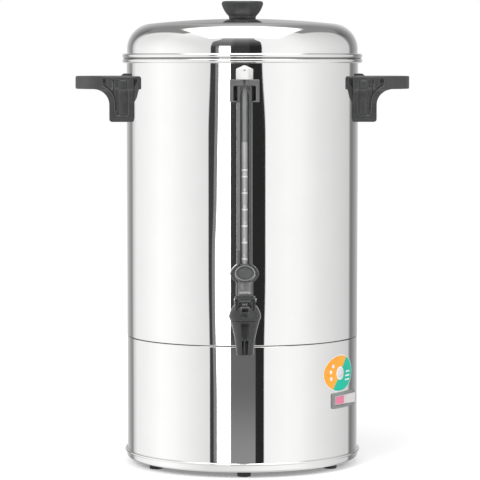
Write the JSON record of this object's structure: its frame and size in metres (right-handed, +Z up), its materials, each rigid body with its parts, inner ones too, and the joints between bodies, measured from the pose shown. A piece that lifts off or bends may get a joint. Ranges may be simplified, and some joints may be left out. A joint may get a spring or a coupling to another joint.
{
  "type": "coffee urn",
  "caption": "Electric coffee urn: polished steel tank and domed lid, percolating pump and basket inside, sight gauge and spring lever tap in front, moulded side handles.",
  "frame": {"origin": "on the tank's axis, on the plane of the feet", "axes": "+Z up the tank's axis, -Y towards the tap, +X towards the right handle"},
  "size_m": [0.375, 0.3256, 0.5198],
  "materials": {
    "polished_steel": "polished",
    "inner_steel": "satin",
    "hardware": "zinc plated",
    "dark_plastic": "satin",
    "black_plastic": "satin",
    "rubber": "matte",
    "base_plate": "satin",
    "glass_tube": "clear",
    "cap_plastic": "gloss",
    "heater_alloy": "cast",
    "rocker_red": "gloss",
    "lamp_lens": "gloss"
  },
  "bodies": {
    "urn": {"tank_shell": "polished_steel", "base_skirt": "polished_steel", "base_ring": "polished_steel", "tank_floor": "inner_steel", "centre_rod": "hardware", "base_nut": "hardware", "heater_nut": "hardware", "holder_screw": "hardware", "lever_pin": "hardware", "tap_spring": "hardware", "inlet_pins": "hardware", "handle_screw_1": "hardware", "handle_screw_2": "hardware", "handle_screw_3": "hardware", "handle_screw_4": "hardware", "left_handle": "dark_plastic", "right_handle": "dark_plastic", "gauge_guard": "dark_plastic", "gauge_holder": "dark_plastic", "tap_body": "dark_plastic", "tap_bonnet": "dark_plastic", "tap_nut": "dark_plastic", "foot_1": "rubber", "foot_2": "rubber", "foot_3": "rubber", "foot_4": "rubber", "foot_5": "rubber", "foot_6": "rubber", "tap_gasket_outer": "rubber", "tap_gasket_inner": "rubber", "glass_seal_low": "rubber", "glass_seal_top": "rubber", "switch_housing": "black_plastic", "power_inlet": "black_plastic", "bottom_plate": "base_plate", "sight_glass": "glass_tube", "gauge_cap": "cap_plastic", "brew_heater": "heater_alloy", "thermostat": "heater_alloy", "thermal_cutout": "heater_alloy", "indicator_lens": "lamp_lens"},
    "lid": {"lid_shell": "polished_steel", "lid_knob": "dark_plastic", "knob_screw": "hardware", "knob_washer": "rubber"},
    "spreader": {"spreader": "inner_steel"},
    "basket": {"basket_wall": "inner_steel", "basket_screen": "inner_steel"},
    "pump": {"pump_tube": "inner_steel", "pump_bell": "inner_steel", "pump_collar": "inner_steel"},
    "pump_valve": {"pump_valve": "inner_steel"},
    "tap_lever": {"tap_lever": "dark_plastic"},
    "tap_valve": {"valve_stem": "hardware", "seat_cup": "rubber"},
    "rocker": {"switch_rocker": "rocker_red"}
  },
  "joints": [
    {"name": "lid_lift", "type": "slide", "parent": "urn", "child": "lid", "axis": [0, 0, 1], "range_m": [0, 0.64]},
    {"name": "spreader_lift", "type": "slide", "parent": "urn", "child": "spreader", "axis": [0, 0, 1], "range_m": [0, 0.56]},
    {"name": "basket_lift", "type": "slide", "parent": "urn", "child": "basket", "axis": [0, 0, 1], "range_m": [0, 0.48]},
    {"name": "pump_lift", "type": "slide", "parent": "urn", "child": "pump", "axis": [0, 0, 1], "range_m": [0, 0.36]},
    {"name": "pump_valve_lift", "type": "slide", "parent": "pump", "child": "pump_valve", "axis": [0, 0, 1], "range_m": [0, 0.0025]},
    {"name": "tap_lever_pull", "type": "hinge", "parent": "urn", "child": "tap_lever", "pos_m": [0, -0.18, 0.199], "axis": [1, 0, 0], "range_deg": [0, 30], "stiffness_Nm_per_rad": 0.35, "springref_deg": -17.19},
    {"name": "tap_valve_lift", "type": "slide", "parent": "urn", "child": "tap_valve", "axis": [0, 0, 1], "range_m": [0, 0.00415], "deforming": ["tap_spring"]},
    {"name": "rocker_tilt", "type": "hinge", "parent": "urn", "child": "rocker", "pos_m": [0.10981, -0.0634, 0.0785], "axis": [0, 0, 1], "range_deg": [0, 10]}
  ],
  "couplings": [
    {"joint": "spreader_lift", "follows": "lid_lift", "ratio": 0.875},
    {"joint": "basket_lift", "follows": "lid_lift", "ratio": 0.75},
    {"joint": "pump_lift", "follows": "lid_lift", "ratio": 0.5625},
    {"joint": "tap_valve_lift", "follows": "tap_lever_pull", "m_per_rad": 0.0079077}
  ]
}
